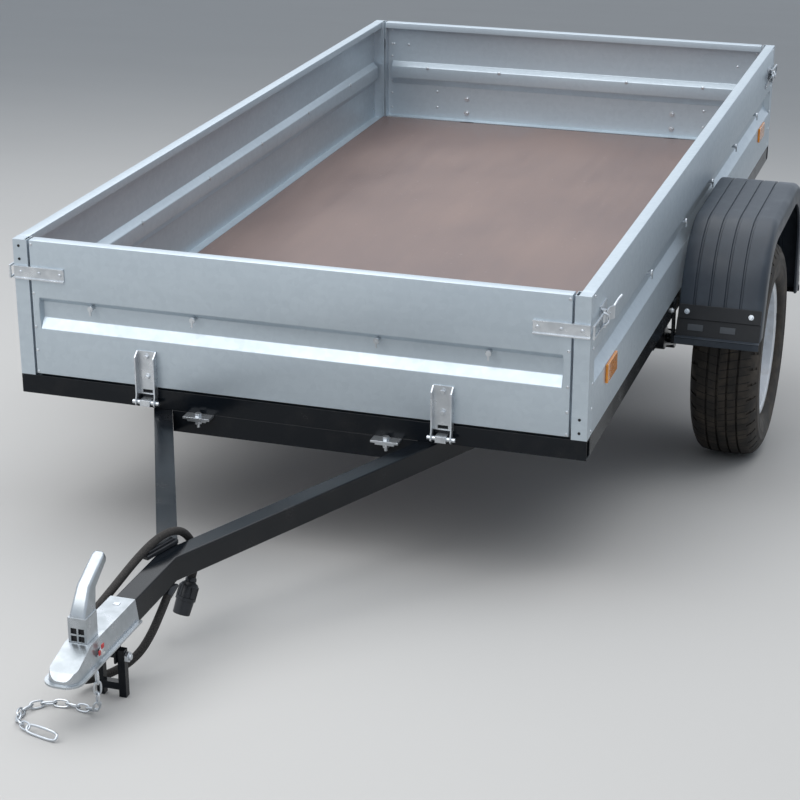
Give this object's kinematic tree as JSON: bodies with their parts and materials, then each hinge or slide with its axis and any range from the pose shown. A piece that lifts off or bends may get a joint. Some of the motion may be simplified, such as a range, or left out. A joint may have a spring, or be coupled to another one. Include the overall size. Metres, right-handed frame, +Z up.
{
  "type": "utility trailer",
  "caption": "Single-axle utility trailer with a folded galvanised sheet body, opening front and rear boards, V drawbar with ball coupler, plastic mudguards and a folding parking leg.",
  "frame": {"origin": "on the ground, at the middle of the box around the parked trailer", "axes": "+X to the trailer's right, +Y to its rear, +Z up; parked nose down by 8.45 degrees"},
  "size_m": [1.726, 3.6352, 1.016],
  "materials": {
    "frame_black": "satin black paint over steel",
    "galvanised_sheet": "galvanised sheet, faint spangle",
    "zinc_plated": "bright zinc plating",
    "floor_film": "brown film-faced plywood",
    "red_indicator": "red moulded plastic",
    "black_plastic": "moulded plastic",
    "cable_sleeve": "sleeved cable",
    "amber_reflector": "amber reflector lens",
    "lamp_red": "lamp lens",
    "tyre": "rubber with road tread",
    "silver_rim": "silver painted steel"
  },
  "bodies": {
    "chassis": {"frame_beam_front": "frame_black", "frame_beam_rear": "frame_black", "frame_rails": "frame_black", "frame_cross_members": "frame_black", "floor_board": "floor_film", "side_board_left": "galvanised_sheet", "side_board_right": "galvanised_sheet", "corner_posts": "galvanised_sheet", "drawbar_arm_right": "frame_black", "drawbar_arm_left": "frame_black", "drawbar_cross_tube": "frame_black", "coupler_body": "zinc_plated", "coupler_lever": "zinc_plated", "coupler_indicator": "red_indicator", "stand_bracket": "frame_black", "axle_beam": "frame_black", "axle_hangers": "frame_black", "swing_arm_right": "frame_black", "swing_arm_left": "frame_black", "fender_right": "black_plastic", "fender_left": "black_plastic", "hinge_lugs": "zinc_plated", "latch_clasps": "zinc_plated", "side_reflectors": "amber_reflector", "tail_lamps": "lamp_red", "fender_stays": "frame_black", "drawbar_clamps": "zinc_plated", "safety_chain": "zinc_plated", "cable": "cable_sleeve", "cable_gland": "black_plastic", "plug": "black_plastic"},
    "front_board": {"front_board": "galvanised_sheet", "front_board_straps": "zinc_plated"},
    "tailgate": {"tailgate": "galvanised_sheet", "tailgate_straps": "zinc_plated"},
    "wheel_left": {"tyre_left": "tyre", "rim_left": "silver_rim", "hub_left": "frame_black"},
    "wheel_right": {"tyre_right": "tyre", "rim_right": "silver_rim", "hub_right": "frame_black"},
    "stand": {"stand_leg": "frame_black"}
  },
  "joints": [
    {"name": "wheel_left_spin", "type": "hinge", "parent": "chassis", "child": "wheel_left", "pos_m": [-0.757, 0.68112, 0.288], "axis": [1, 0, 0], "continuous": true},
    {"name": "wheel_right_spin", "type": "hinge", "parent": "chassis", "child": "wheel_right", "pos_m": [0.757, 0.68112, 0.288], "axis": [1, 0, 0], "continuous": true},
    {"name": "front_board_hinge", "type": "hinge", "parent": "chassis", "child": "front_board", "pos_m": [0, -0.70678, 0.30726], "axis": [1, 0, 0], "range_deg": [0, 90]},
    {"name": "tailgate_hinge", "type": "hinge", "parent": "chassis", "child": "tailgate", "pos_m": [0, 1.80862, 0.68095], "axis": [-1, 0, 0], "range_deg": [0, 180]},
    {"name": "stand_fold", "type": "hinge", "parent": "chassis", "child": "stand", "pos_m": [0, -1.58799, 0.08031], "axis": [-1, 0, 0], "range_deg": [0, 90]}
  ]
}
